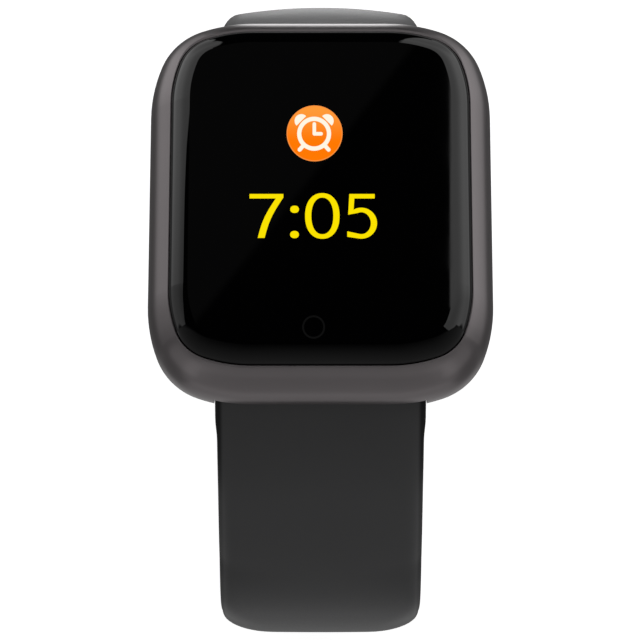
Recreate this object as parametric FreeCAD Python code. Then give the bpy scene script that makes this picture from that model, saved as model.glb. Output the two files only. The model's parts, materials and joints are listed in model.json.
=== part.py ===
import FreeCAD, Part
import math
import os

# Rectangular smartwatch with a two-piece silicone strap, lying open on its tail.
# Row frame: +X towards 3 o'clock, +Y towards 12 o'clock, +Z out of the screen.
# Everything is modelled with z = 0 on the seam between glass and case, in
# millimetres, and is lifted at the end so that the strap's lowest point is at z = 0.

V = FreeCAD.Vector
X_AXIS = V(1, 0, 0)
Y_AXIS = V(0, 1, 0)
Z_AXIS = V(0, 0, 1)

# ---- driving dimensions: case ----
CASE_HALF_WIDTH = 18.3        # X, at the widest level
CASE_HALF_LENGTH = 22.3       # Y, at the widest level
SIDE_RADIUS = 4.95            # full-round side of the case
SIDE_CENTRE_Z = -4.12         # level of the widest point
CASE_BOTTOM_Z = -8.4
CORNER_EASE_RADIUS = 17.0     # gentle arc that leads into each corner
CORNER_CORE_RADIUS = 7.1      # tighter arc in the middle of each corner
CORNER_EASE_TURN = math.radians(20)
BEZEL_INSET = SIDE_RADIUS - math.sqrt(SIDE_RADIUS ** 2 - SIDE_CENTRE_Z ** 2)
END_LAND = 0.26               # flat strip between round side and glass, at the 12 and 6 o'clock ends

# ---- driving dimensions: glass and screen ----
SEAM_GAP = 0.12
GLASS_TOP_Z = 1.5
GLASS_EDGE_RUN = 2.0          # width of the curved edge
GLASS_UNDERSIDE_Z = 0.4
GLASS_FOOT_Z = -0.6
GLASS_FOOT_WIDTH = 1.3
GLASS_RING_REACH = 1.6        # where the swept rim of the glass meets its flat middle
ADHESIVE_WIDTH = 1.0
LEDGE_Z = -0.75
LEDGE_THICKNESS = 1.1
LEDGE_WIDTH = 1.2
SCREEN_HALF_X = 13.4
SCREEN_HALF_Y = 15.6
TOUCH_THICKNESS = 0.2
DISPLAY_THICKNESS = 1.2
BACKLIGHT_THICKNESS = 0.7

# ---- driving dimensions: cavity and what it holds ----
CAVITY_HALF_X = 14.4
CAVITY_HALF_Y = 16.3
CAVITY_CORNER = 3.6
FIT = 0.15                    # assembly clearance between neighbours
BOSS_X = 12.3
BOSS_Y = 14.2
BOSS_RADIUS = 1.7
SCREW_RADIUS = 0.7
SCREW_HEAD_RADIUS = 1.25
SCREW_HEAD_HEIGHT = 0.5

# ---- driving dimensions: strap and spring bars ----
BAR_Y = 19.3
BAR_Z = -6.2
BAR_TUBE_RADIUS = 0.9
BAR_TUBE_BORE = 0.6
BAR_TUBE_HALF = 10.3
BAR_TIP_RADIUS = 0.5
BAR_TIP_REACH = 12.1          # how far a tip reaches along X into the case
LEVER_X = -8.0
LEVER_TILT = 35               # degrees, so that the knob clears the case
LEVER_TRAVEL = 1.2
RUNNING = 0.05                # radial running clearance of every hinge
STRAP_HALF_WIDTH = 11.0
STRAP_END_HALF_WIDTH = 10.4   # at the level of the floor
STRAP_THICKNESS = 2.4
KNUCKLE_RADIUS = 1.6
NOTCH_HALF_WIDTH = 11.2
NOTCH_CLEARANCE = 0.25
BAR_HOLE_MARGIN = 0.3         # end play of a bar tip in its blind hole
HOLE_RADIUS = 1.15
HOLE_PITCH = 6.0
HOLE_COUNT = 8
FIRST_HOLE_FROM_TIP = 12.0

# centreline of each strap, from the spring bar outwards: (radius, turn in degrees)
# for an arc and (None, length) for a straight
START_ANGLE = math.radians(35.3)     # below the horizontal
TAIL_ROUTE = [(41.1, 24.7), (22.0, 30.0), (None, 0.9), (29.5, 35.0), (22.8, 55.0), (None, 42.0)]
BUCKLE_ROUTE = [(41.1, 24.7), (22.0, 30.0), (None, 2.0), (10.0, 90.0), (None, 14.7)]

# ---- driving dimensions: buckle and keepers ----
BUCKLE_BAR_RADIUS = 0.6
BUCKLE_ARM_X = 10.9           # inner face of a buckle arm
BUCKLE_ARM_WIDTH = 1.3
BUCKLE_OUTER_X = BUCKLE_ARM_X + BUCKLE_ARM_WIDTH
BUCKLE_ARM_END = 1.4          # how far an arm runs past the bar
BUCKLE_THICKNESS = 1.9
BUCKLE_REACH = 10.2           # bar to the far face of the cross-bar
CROSSBAR_WIDTH = 1.8
TONGUE_WIDTH = 1.8
TONGUE_KNUCKLE_RADIUS = 1.1
TONGUE_THICKNESS = 0.8
KEEPER_WIDTH = 3.6
KEEPER_WALL = 1.0
KEEPER_ROOM = 2.8             # space outside the strap for the tail
KEEPER_CLEARANCE = 0.2
KEEPER_EDGE_RADIUS = 0.9
FIXED_KEEPER_FROM_BAR = 2.4
FREE_KEEPER_FROM_BAR = 9.4


# ---------------------------------------------------------------- outlines

def corner_arcs(inset, land, sign_x, sign_y):
    """Three tangent arcs round one corner of the case outline, seen from above.

    Each arc is three points, and they run from the X side to the Y side of the corner.
    """
    ease = CORNER_EASE_RADIUS - inset
    core = CORNER_CORE_RADIUS - inset
    turn = CORNER_EASE_TURN
    half_x = CASE_HALF_WIDTH - inset
    half_y = CASE_HALF_LENGTH - inset - land
    shift = CORNER_EASE_RADIUS - CORNER_CORE_RADIUS
    run = ease * math.sin(turn) + core * (math.cos(turn) - math.sin(turn)) + ease * (1 - math.cos(turn))
    first = V(half_x - ease, half_y - run, 0)
    middle = first + V(shift * math.cos(turn), shift * math.sin(turn), 0)
    last = V(half_x - run, half_y - ease, 0)
    quarter = math.pi / 2
    arcs = (
        (first, ease, 0, turn),
        (middle, core, turn, quarter - turn),
        (last, ease, quarter - turn, quarter),
    )
    edges = []
    for centre, radius, start, end in arcs:
        points = []
        for angle in (start, (start + end) / 2, end):
            point = centre + V(radius * math.cos(angle), radius * math.sin(angle), 0)
            points.append(V(sign_x * point.x, sign_y * point.y, 0))
        edges.append(points)
    return edges


def outline(inset, land=0.0):
    """The case outline moved inwards by inset, and at both ends by land too, at z = 0."""
    loops = []
    for sign_x, sign_y in ((1, 1), (-1, 1), (-1, -1), (1, -1)):
        arcs = corner_arcs(inset, land, sign_x, sign_y)
        if sign_x * sign_y < 0:
            arcs = [list(reversed(points)) for points in reversed(arcs)]
        loops.append(arcs)
    edges = []
    for index, arcs in enumerate(loops):
        following = loops[(index + 1) % 4]
        for points in arcs:
            edges.append(Part.Arc(*points).toShape())
        edges.append(Part.LineSegment(arcs[-1][2], following[0][0]).toShape())
    return Part.Wire(edges)


def slab(inset, low, high, land=0.0):
    """A plate with the case outline, moved inwards, from z = low to z = high."""
    wire = outline(inset, land)
    wire.translate(V(0, 0, low))
    return Part.Face(wire).extrude(V(0, 0, high - low))


def swept_ring(section, land=0.0):
    """Sweep a section, drawn as edges in (inset, z), round the case outline."""
    edges = []
    for points in section:
        placed = [V(CASE_HALF_WIDTH - inset, 0, z) for inset, z in points]
        if len(placed) == 2:
            edges.append(Part.LineSegment(*placed).toShape())
        else:
            edges.append(Part.Arc(*placed).toShape())
    profile = Part.Wire(edges)
    spine = outline(0, land)
    return spine.makePipeShell([profile], True, False)


def rounded_box(half_x, half_y, radius, low, high, centre=(0, 0)):
    """An upright box with rounded vertical edges."""
    corner = V(centre[0] - half_x, centre[1] - half_y, low)
    box = Part.makeBox(2 * half_x, 2 * half_y, high - low, corner)
    if radius <= 0:
        return box
    upright = []
    for edge in box.Edges:
        start, end = edge.Vertexes[0].Point, edge.Vertexes[-1].Point
        if abs(start.x - end.x) < 1e-6 and abs(start.y - end.y) < 1e-6:
            upright.append(edge)
    return box.makeFillet(radius, upright)


def disc(radius, low, high, centre=(0, 0)):
    """An upright cylinder."""
    return Part.makeCylinder(radius, high - low, V(centre[0], centre[1], low), Z_AXIS)


def rod_x(radius, x_low, x_high, y, z):
    """A cylinder lying along X."""
    return Part.makeCylinder(radius, x_high - x_low, V(x_low, y, z), X_AXIS)


def block(x_range, y_range, z_range):
    """A plain box between two limits on each axis."""
    size = [high - low for low, high in (x_range, y_range, z_range)]
    return Part.makeBox(size[0], size[1], size[2], V(x_range[0], y_range[0], z_range[0]))


def fused(first, *others):
    """One solid from several that touch."""
    result = first
    for other in others:
        result = result.fuse(other)
    return result.removeSplitter()


# ---------------------------------------------------------------- case and glass

def side_arc_point(z):
    """The inset of the case's full-round side at level z."""
    drop = z - SIDE_CENTRE_Z
    return SIDE_RADIUS - math.sqrt(SIDE_RADIUS ** 2 - drop ** 2)


def case_frame():
    """Cast metal ring with the screen ledge, strap notches, bar holes and screw bosses."""
    core_inset = SIDE_RADIUS - 0.9
    bottom_inset = side_arc_point(CASE_BOTTOM_Z)
    section = [
        [(core_inset, 0), (BEZEL_INSET, 0)],
        [(BEZEL_INSET, 0), (0, SIDE_CENTRE_Z), (bottom_inset, CASE_BOTTOM_Z)],
        [(bottom_inset, CASE_BOTTOM_Z), (core_inset, CASE_BOTTOM_Z)],
        [(core_inset, CASE_BOTTOM_Z), (core_inset, 0)],
    ]
    body = swept_ring(section).fuse(slab(core_inset - 0.1, CASE_BOTTOM_Z, 0))
    glass_inset = BEZEL_INSET + 0.02
    body = body.cut(slab(glass_inset, LEDGE_Z, 1, END_LAND))
    ledge_inset = glass_inset + LEDGE_WIDTH
    ledge_low = LEDGE_Z - LEDGE_THICKNESS
    body = body.cut(slab(ledge_inset, ledge_low, LEDGE_Z + 0.1, END_LAND))
    cavity = rounded_box(CAVITY_HALF_X, CAVITY_HALF_Y, CAVITY_CORNER, CASE_BOTTOM_Z - 1, ledge_low + 0.01)
    body = body.cut(cavity)
    for sign_x in (-1, 1):
        for sign_y in (-1, 1):
            body = body.fuse(screw_boss(sign_x, sign_y))
    for sign in (-1, 1):
        body = body.cut(strap_notch(sign))
        near = NOTCH_HALF_WIDTH - 1
        far = BAR_TIP_REACH + BAR_HOLE_MARGIN
        for low, high in ((-far, -near), (near, far)):
            body = body.cut(rod_x(BAR_TIP_RADIUS + RUNNING, low, high, sign * BAR_Y, BAR_Z))
    return body.removeSplitter()


def screw_boss(sign_x, sign_y):
    """A drilled post in one corner of the cavity, joined to the wall beside it."""
    low = CASE_BOTTOM_Z + 1.2
    high = BOARD_LOW - FIT
    centre = (sign_x * BOSS_X, sign_y * BOSS_Y)
    post = disc(BOSS_RADIUS, low, high, centre)
    web = block((BOSS_X, CAVITY_HALF_X + 0.3), (BOSS_Y - 0.7, BOSS_Y + 0.7), (low, high))
    if sign_x < 0:
        web = web.mirror(V(0, 0, 0), X_AXIS)
    if sign_y < 0:
        web = web.mirror(V(0, 0, 0), Y_AXIS)
    return post.fuse(web).cut(disc(SCREW_RADIUS, low - 1, high - 0.6, centre))


def strap_notch(sign):
    """The pocket under one end of the case that takes the strap's knuckle."""
    inner_y = BAR_Y - KNUCKLE_RADIUS - NOTCH_CLEARANCE
    ceiling = BAR_Z + KNUCKLE_RADIUS + NOTCH_CLEARANCE
    width = (-NOTCH_HALF_WIDTH, NOTCH_HALF_WIDTH)
    pocket = block(width, (inner_y, inner_y + 10), (CASE_BOTTOM_Z - 1, ceiling))
    return pocket if sign > 0 else pocket.mirror(V(0, 0, 0), Y_AXIS)


def cover_glass():
    """Glass with a curved edge and a foot that stands on the adhesive."""
    edge = BEZEL_INSET + SEAM_GAP
    crown = edge + GLASS_EDGE_RUN
    radius = (GLASS_EDGE_RUN ** 2 + GLASS_TOP_Z ** 2) / (2 * GLASS_TOP_Z)
    half_turn = math.asin(GLASS_EDGE_RUN / radius) / 2
    waist = (crown - radius * math.sin(half_turn), GLASS_TOP_Z - radius * (1 - math.cos(half_turn)))
    deep = crown + GLASS_RING_REACH
    foot_inner = edge + GLASS_FOOT_WIDTH
    section = [
        [(edge, GLASS_FOOT_Z), (edge, 0)],
        [(edge, 0), waist, (crown, GLASS_TOP_Z)],
        [(crown, GLASS_TOP_Z), (deep, GLASS_TOP_Z)],
        [(deep, GLASS_TOP_Z), (deep, GLASS_UNDERSIDE_Z)],
        [(deep, GLASS_UNDERSIDE_Z), (foot_inner, GLASS_UNDERSIDE_Z)],
        [(foot_inner, GLASS_UNDERSIDE_Z), (foot_inner, GLASS_FOOT_Z)],
        [(foot_inner, GLASS_FOOT_Z), (edge, GLASS_FOOT_Z)],
    ]
    middle = slab(deep - 0.1, GLASS_UNDERSIDE_Z, GLASS_TOP_Z, END_LAND)
    return fused(swept_ring(section, END_LAND), middle)


def glass_adhesive():
    """Black foam adhesive between the glass foot and the case ledge."""
    outer = BEZEL_INSET + SEAM_GAP
    band = slab(outer, LEDGE_Z, GLASS_FOOT_Z, END_LAND)
    return band.cut(slab(outer + ADHESIVE_WIDTH, LEDGE_Z - 1, GLASS_FOOT_Z + 1, END_LAND))


def screen_layers():
    """Touch film, display panel and backlight, stacked under the glass."""
    layers = {}
    top = GLASS_UNDERSIDE_Z
    heights = (("touch_panel", TOUCH_THICKNESS), ("display_panel", DISPLAY_THICKNESS),
               ("backlight", BACKLIGHT_THICKNESS))
    for name, height in heights:
        layers[name] = rounded_box(SCREEN_HALF_X, SCREEN_HALF_Y, 1.5, top - height, top)
        top -= height
    return layers


# ---------------------------------------------------------------- inside the case

MID_TOP = GLASS_UNDERSIDE_Z - TOUCH_THICKNESS - DISPLAY_THICKNESS - BACKLIGHT_THICKNESS - FIT
MID_LOW = MID_TOP - 1.4
BOARD_TOP = MID_LOW - FIT
BOARD_LOW = BOARD_TOP - 0.8


def mid_frame():
    """Moulded tray that carries the screen above and the board and battery below."""
    tray = rounded_box(CAVITY_HALF_X - FIT, CAVITY_HALF_Y - FIT, CAVITY_CORNER, MID_LOW, MID_TOP)
    window = rounded_box(8.0, 5.0, 1.0, MID_LOW - 1, MID_TOP + 1, (0, -6.5))
    flex_slot = block((-5, 5), (13.9, 14.8), (MID_LOW - 1, MID_TOP + 1))
    return tray.cut(window).cut(flex_slot)


def electronics():
    """Main board with its chips, crystal, connector and antenna."""
    parts = {}
    parts["main_board"] = rounded_box(13.2, 6.2, 0.8, BOARD_LOW, BOARD_TOP, (0, 6.7))
    chips = (
        ("main_chip", 3.2, 3.2, 1.0, (-5.6, 7.2)),
        ("memory_chip", 2.2, 2.8, 0.8, (1.6, 7.2)),
        ("power_chip", 1.5, 1.5, 0.7, (6.4, 9.2)),
        ("clock_crystal", 1.0, 0.7, 0.6, (6.4, 5.4)),
        ("board_connector", 3.0, 1.0, 0.7, (-1.0, 2.2)),
    )
    for name, half_x, half_y, height, centre in chips:
        parts[name] = rounded_box(half_x, half_y, 0, BOARD_LOW - height, BOARD_LOW, centre)
    sheet = block((-9, 9), (14.9, 15.1), (CASE_BOTTOM_Z + 1.6, BOARD_TOP))
    foot = block((-9, -6), (12.95, 14.95), (BOARD_TOP - 0.2, BOARD_TOP))
    parts["antenna"] = fused(sheet, foot)
    return parts


def display_flex():
    """Thin ribbon from the display, through the tray, to the board's top face."""
    thickness = 0.12
    down = block((-4, 4), (14.2, 14.2 + thickness), (BOARD_TOP + 0.02, MID_TOP + FIT))
    lower = block((-4, 4), (11.0, 14.2 + thickness), (BOARD_TOP, BOARD_TOP + thickness))
    return fused(down, lower)


def power():
    """Battery, its leads and the plug they end in."""
    parts = {}
    battery_low = CASE_BOTTOM_Z + 1.15
    battery_high = battery_low + 3.2
    parts["battery"] = rounded_box(7.3, 7.2, 0.8, battery_low, battery_high, (-2.9, -8.0))
    lead_z = BOARD_LOW - 0.5
    leads = []
    for x in (-1.6, -0.2):
        leads.append(Part.makeCylinder(0.3, 1.6, V(x, -0.8, lead_z), Y_AXIS))
    parts["battery_leads"] = Part.makeCompound(leads)
    parts["battery_plug"] = block((-2.4, 0.6), (0.8, 1.15), (lead_z - 0.5, lead_z + 0.5))
    return parts


MOTOR_AT = (9.0, -7.6)
MOTOR_LOW = CASE_BOTTOM_Z + 1.3


def vibration_motor():
    """Coin motor: base plate, can, fixed shaft and a lopsided rotor that spins on it."""
    base_top = MOTOR_LOW + 0.3
    can_top = MOTOR_LOW + 2.9
    parts = {}
    parts["motor_base"] = disc(4.0, MOTOR_LOW, base_top, MOTOR_AT)
    can = disc(4.0, base_top, can_top, MOTOR_AT)
    parts["motor_can"] = can.cut(disc(3.7, base_top - 1, can_top - 0.3, MOTOR_AT))
    parts["motor_shaft"] = disc(0.4, base_top, can_top - 0.3, MOTOR_AT)
    rotor_low = base_top + 0.4
    rotor_high = can_top - 0.7
    weight = disc(3.2, rotor_low, rotor_high, MOTOR_AT)
    weight = weight.cut(block((0, 10), (MOTOR_AT[1] + 0.9, 0), (rotor_low - 1, rotor_high + 1)))
    bore = disc(0.4 + RUNNING, rotor_low - 1, rotor_high + 1, MOTOR_AT)
    hub = disc(0.95, rotor_low, rotor_high, MOTOR_AT)
    parts["motor_rotor"] = weight.fuse(hub).removeSplitter().cut(bore)
    return parts


# ---------------------------------------------------------------- back of the case

COVER_LOW = CASE_BOTTOM_Z - 1.0
BUMP_LOW = COVER_LOW - 0.8
COVER_HALF_X = 15.1
COVER_HALF_Y = 17.1
COVER_CORNER = 5.0
SPIGOT_TOP = CASE_BOTTOM_Z + 0.9
SPIGOT_WALL = 0.9
SENSOR_RADIUS = 6.2
WINDOW_RADIUS = 5.4
CONTACT_PLACES = ((-2.6, -12.6), (2.6, -12.6))
MAGNET_PLACES = ((-6.6, -12.6), (6.6, -12.6))


def screw_places():
    """The four corners where the back is screwed on."""
    return [(sign_x * BOSS_X, sign_y * BOSS_Y) for sign_x in (-1, 1) for sign_y in (-1, 1)]


def back_cover():
    """Moulded back with a spigot, a raised sensor bump and countersunk screw holes."""
    plate = rounded_box(COVER_HALF_X, COVER_HALF_Y, COVER_CORNER, COVER_LOW, CASE_BOTTOM_Z - 0.02)
    rim = [edge for edge in plate.Edges if abs(edge.CenterOfMass.z - COVER_LOW) < 1e-3]
    plate = plate.makeFillet(0.7, rim)
    bump = Part.makeCone(10.2, 9.4, 0.8, V(0, 0, COVER_LOW + 0.01), V(0, 0, -1))
    half_x = CAVITY_HALF_X - FIT
    half_y = CAVITY_HALF_Y - FIT
    spigot = rounded_box(half_x, half_y, CAVITY_CORNER, CASE_BOTTOM_Z - 0.2, SPIGOT_TOP)
    inner = rounded_box(half_x - SPIGOT_WALL, half_y - SPIGOT_WALL, CAVITY_CORNER - 0.8,
                        CASE_BOTTOM_Z - 0.02, SPIGOT_TOP + 1)
    cover = plate.fuse(bump).fuse(spigot.cut(inner))
    groove = back_gasket_band(0.02)
    cover = cover.cut(groove)
    cover = cover.cut(disc(SENSOR_RADIUS, COVER_LOW + 0.45, CASE_BOTTOM_Z + 1))
    cover = cover.cut(disc(WINDOW_RADIUS - 0.8, BUMP_LOW - 1, CASE_BOTTOM_Z))
    cover = cover.cut(disc(WINDOW_RADIUS, BUMP_LOW - 1, BUMP_LOW + 0.55))
    for centre in screw_places():
        cover = cover.cut(disc(BOSS_RADIUS + 0.25, CASE_BOTTOM_Z, SPIGOT_TOP + 1, centre))
        cover = cover.cut(disc(SCREW_RADIUS + 0.1, COVER_LOW - 1, CASE_BOTTOM_Z + 1, centre))
        head_top = COVER_LOW + SCREW_HEAD_HEIGHT
        cover = cover.cut(disc(SCREW_HEAD_RADIUS + 0.05, COVER_LOW - 1, head_top, centre))
    for centre in CONTACT_PLACES:
        cover = cover.cut(disc(1.1, COVER_LOW - 1, CASE_BOTTOM_Z + 1, centre))
    for centre in MAGNET_PLACES:
        cover = cover.cut(disc(1.55, COVER_LOW + 0.3, CASE_BOTTOM_Z + 1, centre))
    return cover


def back_gasket_band(extra):
    """The ring that the back gasket fills, on the outside of the spigot."""
    low = CASE_BOTTOM_Z + 0.25
    high = low + 0.4
    reach = extra - 0.01
    depth = 0.5
    outer = rounded_box(CAVITY_HALF_X + reach, CAVITY_HALF_Y + reach, CAVITY_CORNER, low, high)
    hole = rounded_box(CAVITY_HALF_X - depth, CAVITY_HALF_Y - depth, CAVITY_CORNER - 0.3, low - 1, high + 1)
    return outer.cut(hole)


def back_screws():
    """Four cross-head screws that hold the back on."""
    screws = []
    for centre in screw_places():
        head = disc(SCREW_HEAD_RADIUS, COVER_LOW + 0.05, COVER_LOW + SCREW_HEAD_HEIGHT, centre)
        shank = disc(SCREW_RADIUS - 0.02, COVER_LOW + 0.1, CASE_BOTTOM_Z + 3.2, centre)
        recess = block((-0.75, 0.75), (-0.15, 0.15), (0, 0.3))
        cross = recess.fuse(block((-0.15, 0.15), (-0.75, 0.75), (0, 0.3)))
        cross.translate(V(centre[0], centre[1], COVER_LOW + 0.04))
        screws.append(head.fuse(shank).removeSplitter().cut(cross))
    return Part.makeCompound(screws)


def sensor_module():
    """Optical heart-rate sensor in the bump: board, emitters, detector, barrier, window and ribbon."""
    board_low = COVER_LOW + 0.45
    board_high = CASE_BOTTOM_Z
    parts = {}
    parts["sensor_board"] = disc(SENSOR_RADIUS - 0.1, board_low, board_high)
    emitters = []
    for x in (-3.0, 3.0):
        emitters.append(block((x - 0.6, x + 0.6), (-0.8, 0.8), (board_low - 0.4, board_low)))
    parts["sensor_leds"] = Part.makeCompound(emitters)
    parts["photodiode"] = block((-1.0, 1.0), (-1.0, 1.0), (board_low - 0.35, board_low))
    wall_low = BUMP_LOW + 0.6
    barrier = disc(1.9, wall_low, board_low)
    parts["light_barrier"] = barrier.cut(disc(1.55, wall_low - 1, board_low + 1))
    parts["sensor_window"] = disc(WINDOW_RADIUS - 0.05, BUMP_LOW, BUMP_LOW + 0.55)
    parts["sensor_flex"] = block((-1.5, 1.5), (-0.6, 9.4), (board_high, board_high + 0.12))
    return parts


def charging_parts():
    """Spring contacts and holding magnets of the charging dock, set in the back."""
    contacts = []
    for centre in CONTACT_PLACES:
        pin = disc(1.05, COVER_LOW - 0.02, CASE_BOTTOM_Z + 0.2, centre)
        contacts.append(pin.fuse(disc(1.4, CASE_BOTTOM_Z, CASE_BOTTOM_Z + 0.4, centre)).removeSplitter())
    magnets = [disc(1.5, COVER_LOW + 0.3, CASE_BOTTOM_Z + 0.3, centre) for centre in MAGNET_PLACES]
    return {
        "charging_contacts": Part.makeCompound(contacts),
        "charging_magnets": Part.makeCompound(magnets),
    }


# ---------------------------------------------------------------- straps

def route_stretches(route):
    """Each stretch of a strap centreline, as a dict in (outward distance, z) coordinates."""
    u, z, heading = BAR_Y, BAR_Z, START_ANGLE
    travelled = 0.0
    stretches = []
    for radius, amount in route:
        stretch = {"radius": radius, "start": (u, z), "heading": heading, "s": travelled}
        if radius is None:
            stretch["length"] = amount
            u += amount * math.cos(heading)
            z -= amount * math.sin(heading)
        else:
            turn = math.radians(amount)
            centre = (u - radius * math.sin(heading), z - radius * math.cos(heading))
            stretch["centre"] = centre
            stretch["turn"] = turn
            stretch["length"] = radius * turn
            heading += turn
            u = centre[0] + radius * math.sin(heading)
            z = centre[1] + radius * math.cos(heading)
        travelled += stretch["length"]
        stretches.append(stretch)
    return stretches


def offset_point(stretch, along, offset):
    """The point at a distance along one stretch, moved outwards from the wrist by offset."""
    heading = stretch["heading"]
    if stretch["radius"] is None:
        u = stretch["start"][0] + along * math.cos(heading) + offset * math.sin(heading)
        z = stretch["start"][1] - along * math.sin(heading) + offset * math.cos(heading)
        return u, z
    heading += along / stretch["radius"]
    reach = stretch["radius"] + offset
    centre_u, centre_z = stretch["centre"]
    return centre_u + reach * math.sin(heading), centre_z + reach * math.cos(heading)


def stretch_edge(stretch, offset, side):
    """One edge of the strap's side profile, parallel to the centreline."""
    fractions = (0, 1) if stretch["radius"] is None else (0, 0.5, 1)
    points = []
    for fraction in fractions:
        u, z = offset_point(stretch, fraction * stretch["length"], offset)
        points.append(V(0, side * u, z))
    if len(points) == 2:
        return Part.LineSegment(*points).toShape()
    return Part.Arc(*points).toShape()


def strap_body(route, side):
    """The strap as a band of constant thickness that narrows towards the floor."""
    stretches = route_stretches(route)
    half = STRAP_THICKNESS / 2
    outer = [stretch_edge(stretch, half, side) for stretch in stretches]
    inner = [stretch_edge(stretch, -half, side) for stretch in reversed(stretches)]
    ends = []
    for stretch, along in ((stretches[-1], stretches[-1]["length"]), (stretches[0], 0)):
        corners = [offset_point(stretch, along, offset) for offset in (half, -half)]
        points = [V(0, side * u, z) for u, z in corners]
        ends.append(Part.LineSegment(*points).toShape())
    edges = outer + [ends[0]] + inner + [ends[1]]
    profile = Part.Wire(Part.__sortEdges__(edges))
    band = Part.Face(profile).extrude(V(2 * STRAP_HALF_WIDTH, 0, 0))
    band.translate(V(-STRAP_HALF_WIDTH, 0, 0))
    knuckle = rod_x(KNUCKLE_RADIUS, -STRAP_HALF_WIDTH, STRAP_HALF_WIDTH, side * BAR_Y, BAR_Z)
    return band.fuse(knuckle).common(strap_taper())


def strap_taper():
    """A wedge, seen from the front, that holds the strap to its width at every level."""
    floor = -seam_height() - 0.1
    reach = 60
    right = [(STRAP_END_HALF_WIDTH, floor), (STRAP_HALF_WIDTH, BAR_Z), (STRAP_HALF_WIDTH, 0)]
    left = [(-x, z) for x, z in reversed(right)]
    corners = [V(x, -reach, z) for x, z in right + left]
    return Part.Face(Part.makePolygon(corners + corners[:1])).extrude(V(0, 2 * reach, 0))


def bar_slots(side):
    """What both straps leave open for the spring bar and its release lever."""
    reach = STRAP_HALF_WIDTH + 1
    bore = rod_x(BAR_TUBE_RADIUS + RUNNING, -reach, reach, side * BAR_Y, BAR_Z)
    return bore.fuse(lever_slot(side, 1.0, 5))


def lever_slot(side, room, depth):
    """A slot below the spring bar that the release lever slides in."""
    slot = block((LEVER_X - room, LEVER_X + LEVER_TRAVEL + room), (-room, room), (-depth, 0))
    return tilted_at_bar(slot, side)


def tilted_at_bar(shape, side):
    """Turn a shape from upright to the lever's tilt and carry it to the spring bar."""
    shape.rotate(V(0, 0, 0), X_AXIS, -side * LEVER_TILT)
    shape.translate(V(0, side * BAR_Y, BAR_Z))
    return shape


def route_frame(route, along):
    """Point on the centreline and direction away from the wrist, in (outward, z)."""
    for stretch in route_stretches(route):
        if along <= stretch["s"] + stretch["length"]:
            break
    point = offset_point(stretch, along - stretch["s"], 0)
    raised = offset_point(stretch, along - stretch["s"], 1)
    return point, (raised[0] - point[0], raised[1] - point[1])


def seam_height():
    """How far the seam stands above the strap's lowest face."""
    last = route_stretches(TAIL_ROUTE)[-1]
    return STRAP_THICKNESS / 2 - last["start"][1]


def tail_strap():
    """6 o'clock strap: adjusting holes and a round tip."""
    side = -1
    strap = strap_body(TAIL_ROUTE, side).cut(bar_slots(side))
    last = route_stretches(TAIL_ROUTE)[-1]
    tip_u = last["start"][0] + last["length"] * math.cos(last["heading"])
    tip_y = side * tip_u
    radius = STRAP_END_HALF_WIDTH
    round_y = tip_y - radius
    keep = block((-30, 30), (-60, round_y), (-80, 10))
    strap = strap.common(keep.fuse(disc(radius, -80, 10, (0, round_y))))
    total = last["s"] + last["length"]
    for index in range(HOLE_COUNT):
        along = total - FIRST_HOLE_FROM_TIP - index * HOLE_PITCH
        point, outward = route_frame(TAIL_ROUTE, along)
        axis = V(0, side * outward[0], outward[1])
        start = V(0, side * point[0], point[1]) - axis * 5
        strap = strap.cut(Part.makeCylinder(HOLE_RADIUS, 10, start, axis))
    return strap


def buckle_bar_place():
    """Where the buckle's bar crosses the end of the 12 o'clock strap, as (y, z)."""
    last = route_stretches(BUCKLE_ROUTE)[-1]
    return last["start"][0] - last["length"], last["start"][1]


def buckle_strap():
    """12 o'clock strap: its far end wraps the buckle bar, with a slot for the tongue."""
    bar_y, bar_z = buckle_bar_place()
    strap = strap_body(BUCKLE_ROUTE, 1).cut(bar_slots(1))
    half = BUCKLE_ARM_X - 0.3
    thick = STRAP_THICKNESS / 2
    strap = strap.cut(block((-30, 30), (bar_y - 5, bar_y + 2.2), (bar_z - 3, bar_z + 3)))
    end = block((-half, half), (bar_y, bar_y + 2.3), (bar_z - thick, bar_z + thick))
    knuckle = rod_x(thick + 0.3, -half, half, bar_y, bar_z)
    strap = strap.fuse(end).fuse(knuckle)
    strap = strap.cut(rod_x(BUCKLE_BAR_RADIUS, -30, 30, bar_y, bar_z))
    slot = TONGUE_WIDTH / 2 + 0.2
    return strap.cut(block((-slot, slot), (bar_y - 5, bar_y + 1.9), (bar_z - 3, bar_z + 3))).removeSplitter()


# ---------------------------------------------------------------- spring bars

def spring_bar(side, prefix):
    """Quick-release spring bar: tube, fixed tip, sliding tip with its lever, and spring."""
    y = side * BAR_Y
    parts = {}
    tube = rod_x(BAR_TUBE_RADIUS, -BAR_TUBE_HALF, BAR_TUBE_HALF, y, BAR_Z)
    tube = tube.cut(rod_x(BAR_TUBE_BORE, -BAR_TUBE_HALF - 1, BAR_TUBE_HALF + 1, y, BAR_Z))
    parts[prefix + "_bar_tube"] = tube.cut(lever_slot(side, 0.52, 2))
    plug = rod_x(BAR_TUBE_BORE - 0.01, BAR_TUBE_HALF - 1.6, BAR_TUBE_HALF - 0.1, y, BAR_Z)
    tip = rod_x(BAR_TIP_RADIUS, BAR_TUBE_HALF - 0.2, BAR_TIP_REACH, y, BAR_Z)
    parts[prefix + "_bar_fixed_tip"] = fused(plug, tip)
    plunger = rod_x(BAR_TIP_RADIUS, -BAR_TIP_REACH, LEVER_X + 0.5, y, BAR_Z)
    stem = Part.makeCylinder(0.4, 1.75, V(0, 0, 0), V(0, 0, -1))
    knob = Part.makeCylinder(0.7, 0.5, V(0, 0, -1.6), V(0, 0, -1))
    lever = tilted_at_bar(stem.fuse(knob), side)
    lever.translate(V(LEVER_X, 0, 0))
    parts[prefix + "_bar_release"] = fused(plunger, lever)
    parts[prefix + "_bar_spring"] = bar_spring(y)
    return parts


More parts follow.
